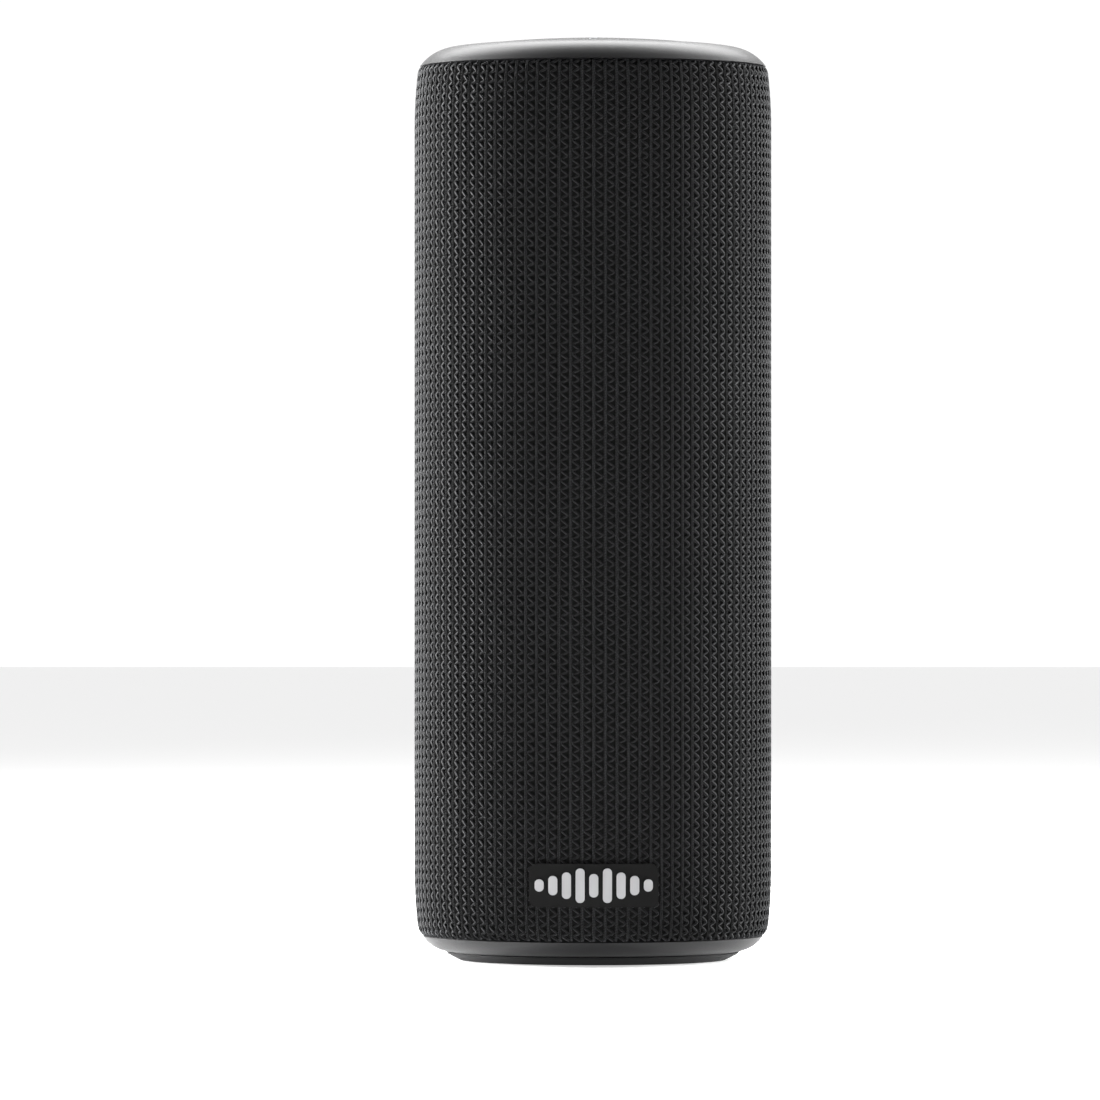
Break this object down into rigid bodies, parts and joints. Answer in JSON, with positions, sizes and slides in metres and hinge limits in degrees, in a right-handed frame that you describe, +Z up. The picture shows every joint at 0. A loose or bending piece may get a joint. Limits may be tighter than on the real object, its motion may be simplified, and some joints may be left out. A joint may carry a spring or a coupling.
{
  "type": "portable speaker",
  "caption": "Upright cylindrical portable wireless speaker: knitted sleeve, domed cap with pressable keys, back charging door, and sprung drivers and passive radiators inside.",
  "frame": {"origin": "centre of the foot's resting face on the speaker's axis", "axes": "+Z up along the cylinder's axis; -Y is the front, with the badge; +Y is the back, with the charging door; +X is the speaker's left side seen from behind, and the volume-up key's side"},
  "size_m": [0.072, 0.0736, 0.1856],
  "materials": {
    "knit": "matte knit",
    "tube_plastic": "matte",
    "badge_backing": "satin",
    "badge_metal": "satin",
    "cap_plastic": "satin",
    "foot_rubber": "matte",
    "foam": "matte",
    "screw_steel": "zinc plated",
    "pad_silicone": "matte",
    "key_silicone": "matte",
    "light_guide": "frosted",
    "circuit_board": "satin",
    "switch_plastic": "matte",
    "chassis_plastic": "matte",
    "cell_wrap": "shrink wrapped",
    "cradle_plastic": "matte",
    "chip_black": "matte",
    "connector_plastic": "satin",
    "ribbon": "satin",
    "flap_silicone": "matte",
    "socket_steel": "satin",
    "lead_sheath": "satin",
    "zinc_steel": "zinc plated",
    "magnet_nickel": "nickel plated",
    "basket_steel": "satin",
    "coil_copper": "lacquered",
    "cone_paper": "matte",
    "surround_rubber": "satin",
    "spider_cloth": "matte",
    "frame_plastic": "matte",
    "radiator_metal": "anodised"
  },
  "bodies": {
    "speaker_body": {"knit_sleeve": "knit", "grille_tube": "tube_plastic", "badge_plate": "badge_backing", "badge_bars": "badge_metal", "base_cap": "cap_plastic", "foot_ring": "foot_rubber", "base_seal": "foam", "base_screws": "screw_steel", "top_cap": "cap_plastic", "control_pad": "pad_silicone", "status_light_guide": "light_guide", "button_board": "circuit_board", "tact_switches": "switch_plastic", "top_seal": "foam", "top_cap_screws": "screw_steel", "chassis_front": "chassis_plastic", "chassis_rear": "chassis_plastic", "chassis_gasket": "foam", "chassis_screws": "screw_steel", "baffle_screws": "screw_steel", "battery_cells": "cell_wrap", "battery_cradle": "cradle_plastic", "battery_board": "circuit_board", "main_board": "circuit_board", "main_board_parts": "chip_black", "board_connectors": "connector_plastic", "button_ribbon": "ribbon", "board_screws": "screw_steel", "port_frame": "cap_plastic", "port_board": "circuit_board", "usb_socket": "socket_steel", "lead_grommet": "foot_rubber", "speaker_leads": "lead_sheath", "power_leads": "lead_sheath", "driver_yokes": "zinc_steel", "driver_magnets": "magnet_nickel", "driver_pole_plates": "zinc_steel", "radiator_frames": "frame_plastic", "front_driver_basket": "basket_steel", "front_surround": "surround_rubber", "front_spider": "spider_cloth", "front_radiator_surround": "surround_rubber", "rear_driver_basket": "basket_steel", "rear_surround": "surround_rubber", "rear_spider": "spider_cloth", "rear_radiator_surround": "surround_rubber"},
    "front_diaphragm": {"front_cone": "cone_paper", "front_dust_cap": "cone_paper", "front_voice_coil": "coil_copper"},
    "front_radiator": {"front_radiator_plate": "radiator_metal"},
    "rear_diaphragm": {"rear_cone": "cone_paper", "rear_dust_cap": "cone_paper", "rear_voice_coil": "coil_copper"},
    "rear_radiator": {"rear_radiator_plate": "radiator_metal"},
    "play_key": {"play_button": "key_silicone"},
    "volume_up_key": {"volume_up_button": "key_silicone"},
    "volume_down_key": {"volume_down_button": "key_silicone"},
    "power_key": {"power_button": "key_silicone"},
    "pairing_key": {"pairing_button": "key_silicone"},
    "port_door": {"port_flap": "flap_silicone"}
  },
  "joints": [
    {"name": "play_key_press", "type": "slide", "parent": "speaker_body", "child": "play_key", "axis": [0, 0, -1], "range_m": [0, 0.0006], "stiffness_N_per_m": 1800, "springref_m": -0.0002},
    {"name": "volume_up_key_press", "type": "slide", "parent": "speaker_body", "child": "volume_up_key", "axis": [0, 0, -1], "range_m": [0, 0.0006], "stiffness_N_per_m": 1800, "springref_m": -0.0002},
    {"name": "volume_down_key_press", "type": "slide", "parent": "speaker_body", "child": "volume_down_key", "axis": [0, 0, -1], "range_m": [0, 0.0006], "stiffness_N_per_m": 1800, "springref_m": -0.0002},
    {"name": "power_key_press", "type": "slide", "parent": "speaker_body", "child": "power_key", "axis": [0, 0, -1], "range_m": [0, 0.0006], "stiffness_N_per_m": 1800, "springref_m": -0.0002},
    {"name": "pairing_key_press", "type": "slide", "parent": "speaker_body", "child": "pairing_key", "axis": [0, 0, -1], "range_m": [0, 0.0006], "stiffness_N_per_m": 1800, "springref_m": -0.0002},
    {"name": "front_diaphragm_travel", "type": "slide", "parent": "speaker_body", "child": "front_diaphragm", "axis": [0, -1, 0], "range_m": [-0.002, 0.002], "stiffness_N_per_m": 1700, "deforming": ["front_surround", "front_spider"]},
    {"name": "front_radiator_travel", "type": "slide", "parent": "speaker_body", "child": "front_radiator", "axis": [0, -1, 0], "range_m": [-0.0035, 0.0035], "stiffness_N_per_m": 1000, "deforming": ["front_radiator_surround"]},
    {"name": "rear_diaphragm_travel", "type": "slide", "parent": "speaker_body", "child": "rear_diaphragm", "axis": [0, 1, 0], "range_m": [-0.002, 0.002], "stiffness_N_per_m": 1700, "deforming": ["rear_surround", "rear_spider"]},
    {"name": "rear_radiator_travel", "type": "slide", "parent": "speaker_body", "child": "rear_radiator", "axis": [0, 1, 0], "range_m": [-0.0035, 0.0035], "stiffness_N_per_m": 1000, "deforming": ["rear_radiator_surround"]},
    {"name": "port_door_hinge", "type": "hinge", "parent": "speaker_body", "child": "port_door", "pos_m": [0.0142, 0.03275, 0.016], "axis": [0, 0, -1], "range_deg": [0, 100]}
  ]
}
